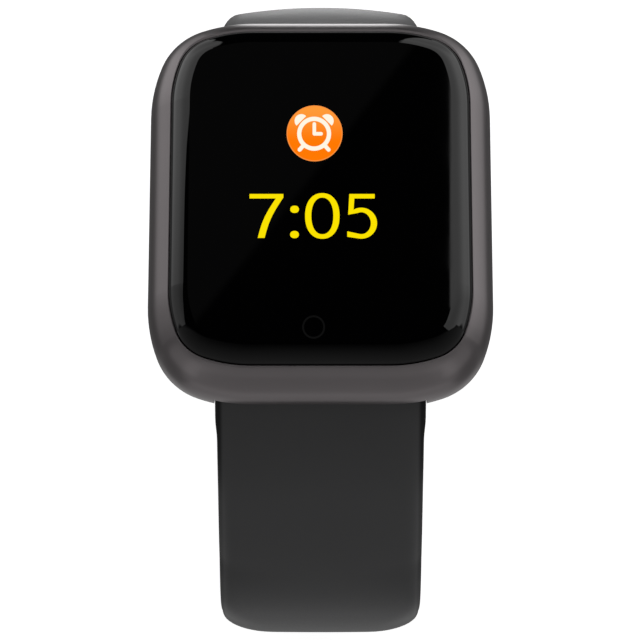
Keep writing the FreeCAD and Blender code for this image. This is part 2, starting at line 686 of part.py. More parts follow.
def bar_spring(y):
    """Fine coil spring inside the tube, pushing the sliding tip outwards."""
    start = LEVER_X + 0.62
    length = 7.2
    wire_radius = 0.07
    helix = Part.makeHelix(0.9, length, BAR_TUBE_BORE - 0.18)
    circle = Part.makeCircle(wire_radius, V(BAR_TUBE_BORE - 0.18, 0, 0), Y_AXIS)
    coil = Part.Wire(helix).makePipeShell([Part.Wire(circle)], True, True)
    coil.rotate(V(0, 0, 0), Y_AXIS, 90)
    coil.translate(V(start + wire_radius, y, BAR_Z))
    return coil


# ---------------------------------------------------------------- buckle and keepers

def buckle_frame():
    """Rounded U-shaped frame that turns on the buckle bar."""
    bar_y, bar_z = buckle_bar_place()
    half = BUCKLE_THICKNESS / 2
    far_y = bar_y - BUCKLE_REACH
    near_y = bar_y + BUCKLE_ARM_END
    centre = (0, (near_y + far_y) / 2)
    ring = rounded_box(BUCKLE_OUTER_X, (near_y - far_y) / 2, 1.2, bar_z - half, bar_z + half, centre)
    soft = [edge for edge in ring.Edges if abs(abs(edge.CenterOfMass.z - bar_z) - half) < 1e-4]
    ring = ring.makeFillet(0.5, soft)
    inner_x = (-BUCKLE_ARM_X, BUCKLE_ARM_X)
    window = block(inner_x, (far_y + CROSSBAR_WIDTH, near_y + 5), (bar_z - 5, bar_z + 5))
    return ring.cut(window).cut(rod_x(BUCKLE_BAR_RADIUS + RUNNING, -30, 30, bar_y, bar_z))


def buckle_tongue():
    """Tongue that turns on the buckle bar and rests against the cross-bar."""
    bar_y, bar_z = buckle_bar_place()
    end_y = bar_y - BUCKLE_REACH + 0.3
    bend_y = bar_y - BUCKLE_REACH + CROSSBAR_WIDTH + 1.2
    neck_y = bar_y - 1.5
    rest = bar_z - BUCKLE_THICKNESS / 2 - 0.08
    profile = (
        (bar_y, bar_z + 0.4),
        (neck_y, bar_z + 0.1),
        (bend_y, rest),
        (end_y, rest),
        (end_y, rest - TONGUE_THICKNESS * 0.7),
        (bend_y, rest - TONGUE_THICKNESS),
        (neck_y, bar_z - TONGUE_THICKNESS),
        (bar_y, bar_z - TONGUE_THICKNESS),
    )
    half = TONGUE_WIDTH / 2
    corners = [V(-half, y, z) for y, z in profile]
    shank = Part.Face(Part.makePolygon(corners + corners[:1])).extrude(V(TONGUE_WIDTH, 0, 0))
    tongue = shank.fuse(rod_x(TONGUE_KNUCKLE_RADIUS, -half, half, bar_y, bar_z))
    return tongue.cut(rod_x(BUCKLE_BAR_RADIUS + RUNNING, -5, 5, bar_y, bar_z)).removeSplitter()


def buckle_parts():
    """Buckle frame, its bar and its tongue."""
    bar_y, bar_z = buckle_bar_place()
    bar_half = BUCKLE_OUTER_X - 0.1
    return {
        "buckle_frame": buckle_frame(),
        "buckle_tongue": buckle_tongue(),
        "buckle_bar": rod_x(BUCKLE_BAR_RADIUS, -bar_half, bar_half, bar_y, bar_z),
    }


def keeper(near_y, clearance):
    """A loop round the strap with room below it for the tail."""
    bar_z = buckle_bar_place()[1]
    half_x = STRAP_HALF_WIDTH - 0.3 + clearance
    top = bar_z + STRAP_THICKNESS / 2 + clearance
    low = bar_z - STRAP_THICKNESS / 2 - KEEPER_ROOM
    far_y = near_y + KEEPER_WIDTH
    outer_x = half_x + KEEPER_WALL
    outer = block((-outer_x, outer_x), (near_y, far_y), (low - KEEPER_WALL, top + KEEPER_WALL))
    middle_y = (near_y + far_y) / 2
    soft = [edge for edge in outer.Edges if abs(edge.CenterOfMass.y - middle_y) < 1e-4]
    outer = outer.makeFillet(KEEPER_EDGE_RADIUS, soft)
    return outer.cut(block((-half_x, half_x), (near_y - 1, far_y + 1), (low, top)))


def keepers():
    """The fixed keeper beside the buckle and the free keeper that slides behind it."""
    bar_y = buckle_bar_place()[0]
    return {
        "fixed_keeper": keeper(bar_y + FIXED_KEEPER_FROM_BAR, 0.0),
        "free_keeper": keeper(bar_y + FREE_KEEPER_FROM_BAR, KEEPER_CLEARANCE),
    }


# ---------------------------------------------------------------- assembly

def all_parts():
    """Every node of the watch, by name."""
    parts = {
        "case_frame": case_frame(),
        "cover_glass": cover_glass(),
        "glass_adhesive": glass_adhesive(),
        "mid_frame": mid_frame(),
        "display_flex": display_flex(),
        "back_cover": back_cover(),
        "back_gasket": back_gasket_band(0),
        "back_screws": back_screws(),
        "tail_strap": tail_strap(),
        "buckle_strap": buckle_strap(),
    }
    groups = (screen_layers(), electronics(), power(), vibration_motor(), sensor_module(), charging_parts(),
              spring_bar(-1, "tail"), spring_bar(1, "buckle_end"), buckle_parts(), keepers())
    for group in groups:
        parts.update(group)
    return parts


def main():
    os.makedirs("parts", exist_ok=True)
    lift = V(0, 0, seam_height())
    print("seam above floor", round(seam_height(), 3), "buckle bar", buckle_bar_place())
    for name, shape in all_parts().items():
        shape.translate(lift)
        shape.exportStep(f"parts/{name}.step")
        box = shape.BoundBox
        spans = [(box.XMin, box.XMax), (box.YMin, box.YMax), (box.ZMin, box.ZMax)]
        extent = " ".join(f"{low:.2f}..{high:.2f}" for low, high in spans)
        print(f"{name:24s} {len(shape.Solids)} solids, valid {shape.isValid()}, {shape.Volume:.2f} mm3, {extent}")


main()
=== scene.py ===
import json
import math

import bpy
import bmesh
from mathutils import Matrix, Vector


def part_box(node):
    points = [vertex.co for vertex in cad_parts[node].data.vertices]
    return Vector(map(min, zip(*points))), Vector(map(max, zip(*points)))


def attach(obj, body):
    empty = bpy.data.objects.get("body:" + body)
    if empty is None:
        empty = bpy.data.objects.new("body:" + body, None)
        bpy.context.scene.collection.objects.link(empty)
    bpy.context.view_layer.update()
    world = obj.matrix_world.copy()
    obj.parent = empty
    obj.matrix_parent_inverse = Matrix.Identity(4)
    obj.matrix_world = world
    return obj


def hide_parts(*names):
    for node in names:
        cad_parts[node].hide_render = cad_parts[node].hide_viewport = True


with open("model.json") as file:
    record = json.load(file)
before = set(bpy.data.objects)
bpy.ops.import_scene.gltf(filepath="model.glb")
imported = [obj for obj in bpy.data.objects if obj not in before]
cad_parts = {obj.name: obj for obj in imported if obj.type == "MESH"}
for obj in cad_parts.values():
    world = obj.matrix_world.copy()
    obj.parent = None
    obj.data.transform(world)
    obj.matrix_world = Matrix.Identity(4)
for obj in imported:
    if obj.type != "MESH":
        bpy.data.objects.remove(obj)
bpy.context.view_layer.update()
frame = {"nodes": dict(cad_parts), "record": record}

MM = 0.001

# ---- places read from the frame ----
_, CASE_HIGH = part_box("case_frame")
_, GLASS_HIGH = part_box("cover_glass")
SEAM_Z = CASE_HIGH.z
GLASS_TOP = GLASS_HIGH.z


def middle(node):
    """The centre of a node's box."""
    low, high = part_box(node)
    return (low + high) / 2


# ---------------------------------------------------------------- camera

VIEW_TILT = math.radians(25)          # angle between the view and the face normal
VIEW_DISTANCE = 500.1 * MM
VIEW_DROP = 13.24 * MM                # how far below the seam's centre the view is aimed
LENS_MM = 265.0
SENSOR_MM = 36.0
FRAME_NUDGE = 0.0008                  # share of the frame's width


def make_camera():
    """A long lens above the 6 o'clock end, looking down at the face."""
    data = bpy.data.cameras.new("camera")
    data.lens = LENS_MM
    data.sensor_width = SENSOR_MM
    data.shift_x = -FRAME_NUDGE
    data.shift_y = FRAME_NUDGE
    data.clip_start = 0.01
    data.clip_end = 20
    camera = bpy.data.objects.new("camera", data)
    back = Vector((0, -math.sin(VIEW_TILT), math.cos(VIEW_TILT)))
    up = Vector((0, math.cos(VIEW_TILT), math.sin(VIEW_TILT)))
    camera.location = Vector((0, 0, SEAM_Z)) - up * VIEW_DROP + back * VIEW_DISTANCE
    camera.rotation_euler = (VIEW_TILT, 0, 0)
    bpy.context.scene.collection.objects.link(camera)
    bpy.context.scene.camera = camera


# ---------------------------------------------------------------- node helpers

class Graph:
    """A few shortcuts for building one node tree."""

    def __init__(self, tree):
        self.tree = tree
        self.tree.nodes.clear()

    def node(self, kind, **settings):
        made = self.tree.nodes.new(kind)
        for name, value in settings.items():
            setattr(made, name, value)
        return made

    def link(self, source, target):
        self.tree.links.new(source, target)

    def feed(self, socket, value):
        """Link another node's output to a socket, or set the socket to a number."""
        if isinstance(value, bpy.types.NodeSocket):
            self.link(value, socket)
        else:
            socket.default_value = value

    def math(self, operation, first, second=0.0, third=0.0):
        made = self.node("ShaderNodeMath", operation=operation)
        self.feed(made.inputs[0], first)
        self.feed(made.inputs[1], second)
        self.feed(made.inputs[2], third)
        return made.outputs[0]

    def ramp(self, value, start, end, low=0.0, high=1.0):
        """A smooth step from low, at start, to high, at end."""
        made = self.node("ShaderNodeMapRange", interpolation_type="SMOOTHSTEP")
        self.feed(made.inputs["Value"], value)
        made.inputs["From Min"].default_value = start
        made.inputs["From Max"].default_value = end
        made.inputs["To Min"].default_value = low
        made.inputs["To Max"].default_value = high
        return made.outputs["Result"]

    def total(self, *values):
        result = values[0]
        for value in values[1:]:
            result = self.math("ADD", result, value)
        return result

    def product(self, *values):
        result = values[0]
        for value in values[1:]:
            result = self.math("MULTIPLY", result, value)
        return result


# ---------------------------------------------------------------- studio

FLOOR_HALF = 1.5
FLOOR_DROP = 0.02 * MM
FLOOR_GLOW = 0.92

# Brightness of the surroundings.
PANEL_LIGHT = 0.8
SIDE_LOW_LIGHT = 0.12
FRONT_DIM = 0.02
FRONT_LIGHT = 0.17
UNDER_LIGHT = 0.3
TOP_SHEEN = 0.028

# Soft edges in the surroundings: each pair is where a fade starts and ends, in a unit direction.
PANEL_FRONT_EDGE = (0.1, 0.124)
PANEL_LOW_EDGE = (-0.46, -0.26)
PANEL_HIGH_FADE = (0.35, 0.85)
PANEL_BACK_FADE = (0.75, 0.92)
LEFT_INNER_EDGE = (1.01, 1.05)
RIGHT_INNER_EDGE = (0.0273, 0.0277)
LOW_FADE = (-0.3, -0.5)
FRONT_FADE = (0.16, 0.0)

RIM_WIDTH = 23 * MM
RIM_NEAR = 45 * MM
RIM_FAR = 128 * MM
RIM_HEIGHT = 8 * MM
RIM_METAL_POWER = 0.0125
RIM_SILICONE_POWER = 0.021
FRONT_FILL = (0.9, 0.6, 0.33, (0, -0.35, 0.15), (0, 1, 0))

# Fills for the metal alone: name, width, height, power, place and the direction each faces.
METAL_FILLS = (
    ("top_fill", 0.5, 0.5, 0.05, (0, 0.1, 0.5), (0, 0, -1)),
    ("upper_fill", 0.5, 0.2, 0.035, (0, -0.35, 0.32), (0, 0.8, -0.6)),
    ("low_fill", 0.5, 0.2, 0.075, (0, -0.25, -0.15), (0, 0.74, 0.67)),
    ("side_fill_left", 0.5, 0.4, 0.17, (-0.42, -0.28, 0.2), (1, 0.62, -0.3)),
    ("side_fill_right", 0.5, 0.4, 0.17, (0.42, -0.28, 0.2), (-1, 0.62, -0.3)),
)


def make_world():
    """Surroundings whose brightness depends on direction, fitted so that the glass mirrors the
    panels where this one view needs them.
    """
    world = bpy.data.worlds.new("studio")
    world.use_nodes = True
    bpy.context.scene.world = world
    graph = Graph(world.node_tree)
    direction = graph.node("ShaderNodeTexCoord").outputs["Generated"]
    axes = graph.node("ShaderNodeSeparateXYZ")
    graph.link(direction, axes.inputs[0])
    x, y, z = axes.outputs
    light = graph.total(back_of_studio(graph, x, y, z), front_glow(graph, y, z), top_sheen(graph, x, y, z))
    background = graph.node("ShaderNodeBackground")
    graph.feed(background.inputs["Strength"], light)
    background.inputs["Color"].default_value = (1, 1, 1, 1)
    output = graph.node("ShaderNodeOutputWorld")
    graph.link(background.outputs[0], output.inputs["Surface"])


def back_of_studio(graph, x, y, z):
    """Two white panels, left and right of the watch, and a dim floor below them."""
    is_right = graph.ramp(x, -0.01, 0.01)
    is_left = graph.math("SUBTRACT", 1.0, is_right)
    height = graph.math("MAXIMUM", z, 0.0)
    forward = graph.math("MULTIPLY_ADD", graph.product(height, height), 0.1, y)
    sides = graph.total(graph.product(left_panel(graph, x, y, z), is_left),
                        graph.product(right_panel(graph, x, y, z), is_right))
    fades = graph.product(graph.ramp(z, *PANEL_HIGH_FADE, 1.0, 0.65),
                          graph.ramp(y, *PANEL_BACK_FADE, 1.0, 0.6))
    panel = graph.product(sides, graph.ramp(forward, *PANEL_FRONT_EDGE), graph.ramp(z, *PANEL_LOW_EDGE),
                          fades, PANEL_LIGHT)
    low = graph.product(graph.ramp(y, -0.05, 0.05), graph.ramp(z, *LOW_FADE), SIDE_LOW_LIGHT)
    return graph.total(panel, low)


def left_panel(graph, x, y, z):
    """Share of full light from the left panel: its inner edge leans, and it fades towards the front."""
    side = graph.math("ABSOLUTE", x)
    reach = graph.total(side, graph.math("MULTIPLY", y, 1.465), graph.ramp(y, 0.443, 0.48, 0.0, 0.4))
    limit = graph.math("MINIMUM", graph.math("MULTIPLY_ADD", z, -0.198, 0.2236), 0.18)
    overhead = graph.math("SUBTRACT", side, limit)
    return graph.product(graph.ramp(reach, *LEFT_INNER_EDGE), graph.ramp(overhead, -0.004, 0.004),
                         graph.ramp(y, 0.39, 0.49, 0.55, 1.4))


def right_panel(graph, x, y, z):
    """Share of full light from the right panel, which reaches further inward and is brighter high up."""
    lower = graph.math("MAXIMUM", graph.math("SUBTRACT", 0.425, y), 0.0)
    reach = graph.math("MULTIPLY_ADD", lower, -1.3, x)
    overhead = graph.math("MULTIPLY_ADD", z, 0.15, x)
    return graph.product(graph.ramp(reach, *RIGHT_INNER_EDGE), graph.ramp(overhead, 0.146, 0.154),
                         graph.ramp(z, -0.2, 0.3, 0.92, 1.25), graph.ramp(y, 0.3, 0.49, 0.86, 1.2))


def front_glow(graph, y, z):
    """Light in front of the watch, that grows from overhead down, and a brighter patch straight below."""
    fall = graph.math("POWER", graph.product(graph.math("SUBTRACT", 1.0, z), 0.704), 0.5)
    glow = graph.math("MULTIPLY_ADD", fall, FRONT_LIGHT, FRONT_DIM)
    under = graph.product(graph.ramp(z, -0.7, -0.9), graph.ramp(y, 0.35, 0.15), UNDER_LIGHT)
    return graph.total(graph.product(glow, graph.ramp(y, *FRONT_FADE)), under)


def top_sheen(graph, x, y, z):
    """A very faint ceiling patch with one slanting edge, that the flat glass mirrors."""
    slant = graph.math("MULTIPLY_ADD", x, -1.133, y)
    across = graph.ramp(graph.math("ABSOLUTE", x), 0.09, 0.07)
    return graph.product(graph.ramp(slant, 0.4508, 0.4538), across, graph.ramp(y, 0.495, 0.48),
                         graph.ramp(z, 0.8, 0.84), TOP_SHEEN)


def area_light(name, width, height, power, place, towards, receivers):
    """A rectangular light that faces a direction and lights only some pieces."""
    data = bpy.data.lights.new(name, "AREA")
    data.shape = "RECTANGLE"
    data.size = width
    data.size_y = height
    data.energy = power
    light = bpy.data.objects.new(name, data)
    light.location = place
    light.rotation_euler = Vector(towards).to_track_quat("-Z", "Y").to_euler()
    light.visible_camera = False
    light.light_linking.receiver_collection = receivers
    bpy.context.scene.collection.objects.link(light)


def make_lights(case, straps):
    """A strip behind the watch and soft fills round it; none of them lights the glass."""
    metal = bpy.data.collections.new("lit_metal")
    metal.objects.link(case)
    silicone = bpy.data.collections.new("lit_silicone")
    for strap in straps:
        silicone.objects.link(strap)
    strip_place = (0, (RIM_NEAR + RIM_FAR) / 2, RIM_HEIGHT)
    strip_length = RIM_FAR - RIM_NEAR
    area_light("rim_metal", RIM_WIDTH, strip_length, RIM_METAL_POWER, strip_place, (0, 0, 1), metal)
    area_light("rim_silicone", RIM_WIDTH, strip_length, RIM_SILICONE_POWER, strip_place, (0, 0, 1), silicone)
    area_light("front_fill_metal", *FRONT_FILL, metal)
    area_light("front_fill_silicone", *FRONT_FILL, silicone)
    for fill in METAL_FILLS:
        area_light(*fill, metal)


def make_floor():
    """A plain pale floor, lit evenly from within so that it stays white."""
    mesh = bpy.data.meshes.new("floor")
    half = FLOOR_HALF
    corners = [(-half, -half, 0), (half, -half, 0), (half, half, 0), (-half, half, 0)]
    mesh.from_pydata(corners, [], [(0, 1, 2, 3)])
    floor = bpy.data.objects.new("floor", mesh)
    floor.location.z = -FLOOR_DROP
    bpy.context.scene.collection.objects.link(floor)
    material = bpy.data.materials.new("floor_white")
    material.use_nodes = True
    shader = material.node_tree.nodes["Principled BSDF"]
    shader.inputs["Base Color"].default_value = (0.8, 0.8, 0.8, 1)
    shader.inputs["Roughness"].default_value = 0.9
    shader.inputs["Specular IOR Level"].default_value = 0.0
    shader.inputs["Emission Color"].default_value = (1, 1, 1, 1)
    shader.inputs["Emission Strength"].default_value = FLOOR_GLOW
    mesh.materials.append(material)
    floor.visible_glossy = False
    floor.visible_diffuse = False
    floor.visible_shadow = False


def make_studio():
    """Camera, floor, surroundings and the plain view transform."""
    make_camera()
    make_world()
    make_floor()
    bpy.context.scene.view_settings.view_transform = "Standard"
    bpy.context.scene.view_settings.look = "None"


# ---------------------------------------------------------------- materials

def surface(name, colour, roughness, metallic=0.0, **settings):
    """A new material with a Principled shader; settings name further sockets."""
    material = bpy.data.materials.new(name)
    material.use_nodes = True
    graph = Graph(material.node_tree)
    shader = graph.node("ShaderNodeBsdfPrincipled")
    output = graph.node("ShaderNodeOutputMaterial")
    graph.link(shader.outputs[0], output.inputs["Surface"])
    shader.inputs["Base Color"].default_value = (*colour, 1)
    shader.inputs["Roughness"].default_value = roughness
    shader.inputs["Metallic"].default_value = metallic
    for key, value in settings.items():
        shader.inputs[key.replace("_", " ")].default_value = value
    return material, graph, shader


def object_noise(graph, scale, detail=2.0, stretch=(1, 1, 1)):
    """Noise fixed to the row frame, in features per metre."""
    coords = graph.node("ShaderNodeTexCoord").outputs["Object"]
    mapping = graph.node("ShaderNodeMapping")
    mapping.inputs["Scale"].default_value = stretch
    graph.link(coords, mapping.inputs["Vector"])
    noise = graph.node("ShaderNodeTexNoise")
    noise.inputs["Scale"].default_value = scale
    noise.inputs["Detail"].default_value = detail
    graph.link(mapping.outputs[0], noise.inputs["Vector"])
    return noise.outputs["Fac"]


def vary_colour(graph, shader, factor, dark, light):
    """Mix two close colours by a noise factor, and return the result."""
    mix = graph.node("ShaderNodeMix", data_type="RGBA")
    graph.link(factor, mix.inputs["Factor"])
    mix.inputs["A"].default_value = (*dark, 1)
    mix.inputs["B"].default_value = (*light, 1)
    graph.link(mix.outputs["Result"], shader.inputs["Base Color"])
    return mix.outputs["Result"]


def vary_roughness(graph, shader, factor, low, high):
    """Let the roughness wander between two values."""
    graph.link(graph.ramp(factor, 0.3, 0.7, low, high), shader.inputs["Roughness"])


def add_bump(graph, shader, factor, height):
    """Raise the surface by up to height metres where the factor is 1."""
    bump = graph.node("ShaderNodeBump")
    bump.inputs["Strength"].default_value = 1.0
    bump.inputs["Distance"].default_value = height
    graph.link(factor, bump.inputs["Height"])
    graph.link(bump.outputs["Normal"], shader.inputs["Normal"])


def scaled(colour, share):
    """A colour made darker or lighter by a share."""
    return tuple(min(1.0, channel * share) for channel in colour)


def gunmetal():
    """Satin gunmetal coating on the case: fine blasted grain, slightly warm."""
    colour = (0.205, 0.188, 0.192)
    material, graph, shader = surface("gunmetal_satin", colour, 0.3, metallic=0.9)
    fine = object_noise(graph, 9000, detail=3)
    cloud = object_noise(graph, 120)
    vary_colour(graph, shader, cloud, scaled(colour, 0.95), scaled(colour, 1.05))
    vary_roughness(graph, shader, fine, 0.28, 0.32)
    add_bump(graph, shader, fine, 0.0003 * MM)
    return material


def black_glass():
    """Polished cover glass, printed black on its inner face."""
    material, graph, shader = surface("black_glass", (0.0012, 0.0012, 0.0014), 0.01, IOR=1.6)
    smear = object_noise(graph, 60, detail=4, stretch=(1, 2.5, 1))
    vary_roughness(graph, shader, smear, 0.008, 0.014)
    return material


SILICONE_SPECULAR = 0.4
EDGE_SPECULAR = 0.12
# Where the painted edge shade starts and ends, as distance from the strap's middle line
EDGE_SHADE_START = 10.25 * MM
EDGE_SHADE_END = 10.75 * MM


def silicone():
    """Matte charcoal silicone with a soft bloom, a faint moulded texture and painted shade darkening its
    edges.
    """
    colour = (0.09, 0.09, 0.092)
    material, graph, shader = surface("silicone_charcoal", colour, 0.56, Sheen_Weight=0.12,
                                      Sheen_Roughness=0.4, Specular_IOR_Level=SILICONE_SPECULAR)
    fine = object_noise(graph, 6000, detail=3)
    cloud = object_noise(graph, 90, detail=3)
    face = vary_colour(graph, shader, cloud, scaled(colour, 0.94), scaled(colour, 1.06))
    # Painted shade on the strap's edges: the colour darkens to 0.3 of the face colour towards them
    paint_edge_shade(graph, shader, face, scaled(colour, 0.3))
    vary_roughness(graph, shader, fine, 0.52, 0.6)
    add_bump(graph, shader, fine, 0.003 * MM)
    return material


def paint_edge_shade(graph, shader, face, edge_shade_colour):
    """Paint shade onto the strap's edges: the colour is darker there as painted shade, and the specular is
    duller than on its faces, by distance from its middle line.
    """
    axes = graph.node("ShaderNodeSeparateXYZ")
    graph.link(graph.node("ShaderNodeTexCoord").outputs["Object"], axes.inputs[0])
    off_middle = graph.math("ABSOLUTE", axes.outputs["X"])
    # The painted edge-shade mask: 0 on the faces, 1 at the edges
    edge = graph.ramp(off_middle, EDGE_SHADE_START, EDGE_SHADE_END)
    mix = graph.node("ShaderNodeMix", data_type="RGBA")
    graph.link(edge, mix.inputs["Factor"])
    graph.link(face, mix.inputs["A"])
    mix.inputs["B"].default_value = (*edge_shade_colour, 1)
    graph.link(mix.outputs["Result"], shader.inputs["Base Color"])
    specular = graph.ramp(off_middle, EDGE_SHADE_START, EDGE_SHADE_END, SILICONE_SPECULAR, EDGE_SPECULAR)
    graph.link(specular, shader.inputs["Specular IOR Level"])


def moulded(name, colour, roughness, scale=4000):
    """Moulded plastic or rubber with a fine spark-eroded texture."""
    material, graph, shader = surface(name, colour, roughness)
    fine = object_noise(graph, scale, detail=3)
    vary_colour(graph, shader, fine, scaled(colour, 0.9), scaled(colour, 1.1))
    vary_roughness(graph, shader, fine, roughness * 0.92, min(1.0, roughness * 1.08))
    add_bump(graph, shader, fine, 0.002 * MM)
    return material


def brushed(name, colour, roughness):
    """Metal brushed along X."""
    material, graph, shader = surface(name, colour, roughness, metallic=1.0)
    lines = object_noise(graph, 5000, detail=2, stretch=(0.04, 1, 1))
    vary_colour(graph, shader, lines, scaled(colour, 0.93), scaled(colour, 1.07))
    vary_roughness(graph, shader, lines, roughness * 0.85, roughness * 1.15)
    add_bump(graph, shader, lines, 0.001 * MM)
    return material


def lit(name, colour, strength, top_colour=None, low=0.0, high=1.0):
    """A lit screen element under polished glass; a second colour fades in towards +Y."""
    material, graph, shader = surface(name, (0.0, 0.0, 0.0), 0.03, IOR=1.5)
    shader.inputs["Emission Color"].default_value = (*colour, 1)
    shader.inputs["Emission Strength"].default_value = strength
    if top_colour:
        axes = graph.node("ShaderNodeSeparateXYZ")
        graph.link(graph.node("ShaderNodeTexCoord").outputs["Object"], axes.inputs[0])
        mix = graph.node("ShaderNodeMix", data_type="RGBA")
        graph.link(graph.ramp(axes.outputs["Y"], low, high), mix.inputs["Factor"])
        mix.inputs["A"].default_value = (*colour, 1)
        mix.inputs["B"].default_value = (*top_colour, 1)
        graph.link(mix.outputs["Result"], shader.inputs["Emission Color"])
    return material


def make_materials():
    """Every material, by the record's slot name."""
    return {
        "case_metal": gunmetal(),
        "cover_glass": black_glass(),
        "strap_silicone": silicone(),
        "back_plastic": moulded("back_plastic", (0.022, 0.022, 0.023), 0.42),
        "inner_plastic": moulded("inner_plastic", (0.05, 0.05, 0.052), 0.5),
        "adhesive_foam": moulded("adhesive_foam", (0.006, 0.006, 0.006), 0.85, 9000),
        "screen_layers": moulded("screen_layers", (0.01, 0.01, 0.012), 0.15, 800),
        "flex_film": moulded("flex_film", (0.42, 0.2, 0.05), 0.35, 1500),
        "circuit_board": moulded("circuit_board", (0.012, 0.1, 0.05), 0.3, 2500),
        "chip_epoxy": moulded("chip_epoxy", (0.015, 0.015, 0.016), 0.45),
        "battery_wrap": moulded("battery_wrap", (0.45, 0.46, 0.48), 0.3, 300),
        "lead_wire": moulded("lead_wire", (0.5, 0.03, 0.02), 0.35, 1200),
        "steel": brushed("steel", (0.56, 0.56, 0.57), 0.28),
        "dark_steel": brushed("dark_steel", (0.16, 0.155, 0.155), 0.33),
        "contact_gold": brushed("contact_gold", (0.8, 0.58, 0.24), 0.22),
        "magnet": brushed("magnet", (0.5, 0.5, 0.52), 0.2),
        "sensor_lens": black_glass(),
        "led_green": moulded("led_green", (0.05, 0.5, 0.15), 0.15, 800),
    }


# ---------------------------------------------------------------- mesh helpers

def new_object(name, mesh, material, body):
    """Put a mesh in the scene, with its material and body."""
    piece = bpy.data.objects.new(name, mesh)
    bpy.context.scene.collection.objects.link(piece)
    mesh.materials.clear()
    mesh.materials.append(material)
    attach(piece, body)
    return piece


def grid_faces(bands, rows, columns):
    """Faces of a number of bands in a grid whose rows are closed rings; the last band may wrap round."""
    faces = []
    for row in range(bands):
        first = row * columns
        second = (row + 1) % rows * columns
        for col in range(columns):
            ahead = (col + 1) % columns
            faces.append((first + col, first + ahead, second + ahead, second + col))
    return faces


def loft(name, rings):
    """A closed mesh through rings of points, with a flat cap on each end."""
    count = len(rings[0])
    verts = [point for ring in rings for point in ring]
    faces = grid_faces(len(rings) - 1, len(rings), count)
    faces.append(tuple(reversed(range(count))))
    faces.append(tuple((len(rings) - 1) * count + col for col in range(count)))
    mesh = bpy.data.meshes.new(name)
    mesh.from_pydata(verts, [], faces)
    tidy_normals(mesh)
    return mesh


def tidy_normals(mesh, angle=math.radians(35)):
    """Outward faces, smooth except across sharp edges."""
    work = bmesh.new()
    work.from_mesh(mesh)
    bmesh.ops.recalc_face_normals(work, faces=work.faces)
    for edge in work.edges:
        edge.smooth = len(edge.link_faces) == 2 and edge.calc_face_angle(0.0) < angle
    for face in work.faces:
        face.smooth = True
    work.to_mesh(mesh)
    work.free()


def applied(piece):
    """Replace a piece's mesh with what its modifiers make of it."""
    graph = bpy.context.evaluated_depsgraph_get()
    mesh = bpy.data.meshes.new_from_object(piece.evaluated_get(graph))
    piece.modifiers.clear()
    piece.data = mesh
    return mesh


def cut_with(mesh, cutters):
    """Subtract cutter meshes from a mesh."""
    target = bpy.data.objects.new("cut_target", mesh)
    bpy.context.scene.collection.objects.link(target)
    helpers = []
    for index, cutter in enumerate(cutters):
        helper = bpy.data.objects.new(f"cutter_{index}", cutter)
        bpy.context.scene.collection.objects.link(helper)
        modifier = target.modifiers.new("cut", "BOOLEAN")
        modifier.operation = "DIFFERENCE"
        modifier.solver = "EXACT"
        modifier.object = helper
        helpers.append(helper)
    bpy.context.view_layer.update()
    result = applied(target)
    for helper in helpers + [target]:
        bpy.data.objects.remove(helper)
    tidy_normals(result)
    return result


def lathe(name, profile, axis_matrix, segments=32):
    """A closed turned shape: profile is (radius, height) pairs, from low to high."""
    rings = []
    for radius, height in profile:
        ring = []
        for step in range(segments):
            angle = 2 * math.pi * step / segments
            ring.append(axis_matrix @ Vector((radius * math.cos(angle), radius * math.sin(angle), height)))
        rings.append(ring)
    return loft(name, rings)


def box_mesh(name, low, high, matrix=Matrix.Identity(4)):
    """A block between two corners, used as a cutter."""
    rings = []
    for z in (low[2], high[2]):
        corners = ((low[0], low[1]), (high[0], low[1]), (high[0], high[1]), (low[0], high[1]))
        rings.append([matrix @ Vector((x, y, z)) for x, y in corners])
    return loft(name, rings)


# ---------------------------------------------------------------- strap path

# A route is (radius in mm, turn in degrees) for an arc, or (None, length in mm) for a straight.
START_ANGLE = math.radians(35.3)
TAIL_ROUTE = ((41.1, 24.7), (22.0, 30.0), (None, 0.9), (29.5, 35.0), (22.8, 55.0), (None, 42.0))
BUCKLE_ROUTE = ((41.1, 24.7), (22.0, 30.0), (None, 2.0), (10.0, 90.0), (None, 14.7))
BAR_CENTRE = {-1: middle("tail_bar_tube"), 1: middle("buckle_end_bar_tube")}


class StrapPath:
    """The centreline of one strap in the YZ plane; side is -1 for the tail, +1 for the buckle."""

    def __init__(self, route, side):
        self.side = side
        self.pieces = []
        place = Vector((abs(BAR_CENTRE[side].y) / MM, BAR_CENTRE[side].z / MM))
        heading = START_ANGLE
        travelled = 0.0
        for radius, amount in route:
            turn = 0.0 if radius is None else math.radians(amount)
            length = amount if radius is None else radius * turn
            self.pieces.append((travelled, length, radius, place.copy(), heading))
            place = self.advance(place, heading, radius, length)
            heading += turn
            travelled += length
        self.length = travelled

    @staticmethod
    def advance(place, heading, radius, length):
        """The point reached after a length of straight or arc."""
        if radius is None:
            return place + length * Vector((math.cos(heading), -math.sin(heading)))
        after = heading + length / radius
        across = math.sin(after) - math.sin(heading)
        return place + radius * Vector((across, math.cos(after) - math.cos(heading)))

    def at(self, along):
        """Point, in metres, and unit direction away from the wrist at a distance in millimetres."""
        start, length, radius, place, heading = self.pieces[0]
        for piece in self.pieces:
            if along >= piece[0]:
                start, length, radius, place, heading = piece
        offset = along - start
        if along < 0:
            radius = None
        point = self.advance(place, heading, radius, offset)
        if radius is not None:
            heading += offset / radius
        outward = Vector((0, self.side * math.sin(heading), math.cos(heading)))
        return Vector((0, self.side * point.x, point.y)) * MM, outward


def ease(value, start, end):
    """Smooth step from 0 to 1 between start and end."""
    share = min(1.0, max(0.0, (value - start) / (end - start)))
    return share * share * (3 - 2 * share)


STRAP_SECTION_STEPS = 36
INNER_ROUND_WIDTH = 0.9
INNER_ROUND_HEIGHT = 0.28
THINNEST_EDGE = 0.3


